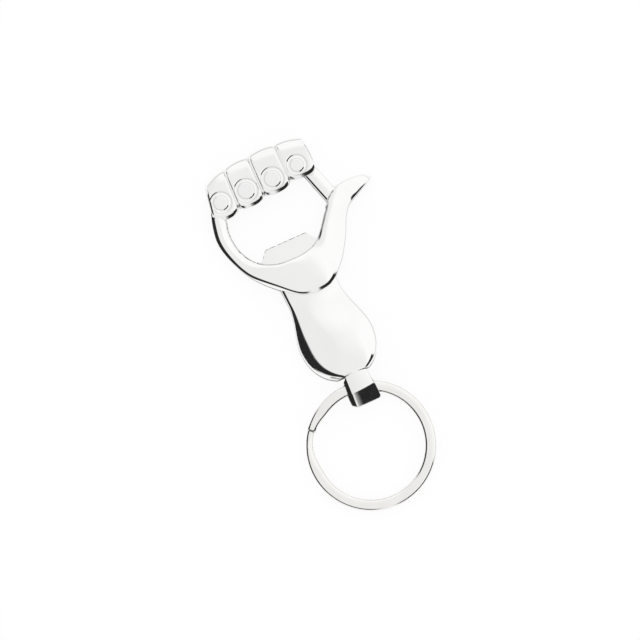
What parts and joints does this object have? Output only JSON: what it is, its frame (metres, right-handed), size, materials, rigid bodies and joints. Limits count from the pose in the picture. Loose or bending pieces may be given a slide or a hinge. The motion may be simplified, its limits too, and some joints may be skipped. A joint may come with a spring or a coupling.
{
  "type": "keychain bottle opener",
  "caption": "Chrome-plated cast bottle opener shaped as a hand with its thumb out: the curled fingers close a cap loop with a pry lip, and a swivel link on the forearm carries a split key ring.",
  "frame": {"origin": "on the flat back of the casting, under the middle of the forearm", "axes": "+X towards the thumb, +Y along the forearm towards the fingers, +Z out of the front of the hand"},
  "size_m": [0.0436, 0.0938, 0.0074],
  "materials": {
    "plated_casting": "bright chrome plate over a polished zinc casting",
    "rivet_steel": "turned steel, lightly plated",
    "plated_link": "bright chrome plate",
    "ring_steel": "nickel-plated drawn flat wire with fine draw marks"
  },
  "bodies": {
    "casting": {"opener_body": "plated_casting", "swivel_rivet": "rivet_steel"},
    "link": {"swivel_link": "plated_link"},
    "ring": {"split_ring": "ring_steel"}
  },
  "joints": [
    {"name": "link_swivel", "type": "hinge", "parent": "casting", "child": "link", "pos_m": [0.00135, -0.01415, 0.00327], "axis": [0, 1, 0], "continuous": true},
    {"name": "ring_swing", "type": "hinge", "parent": "link", "child": "ring", "pos_m": [0.00135, -0.01833, 0.00327], "axis": [-0.9703, 0.2419, 0], "range_deg": [-140, 150]}
  ]
}
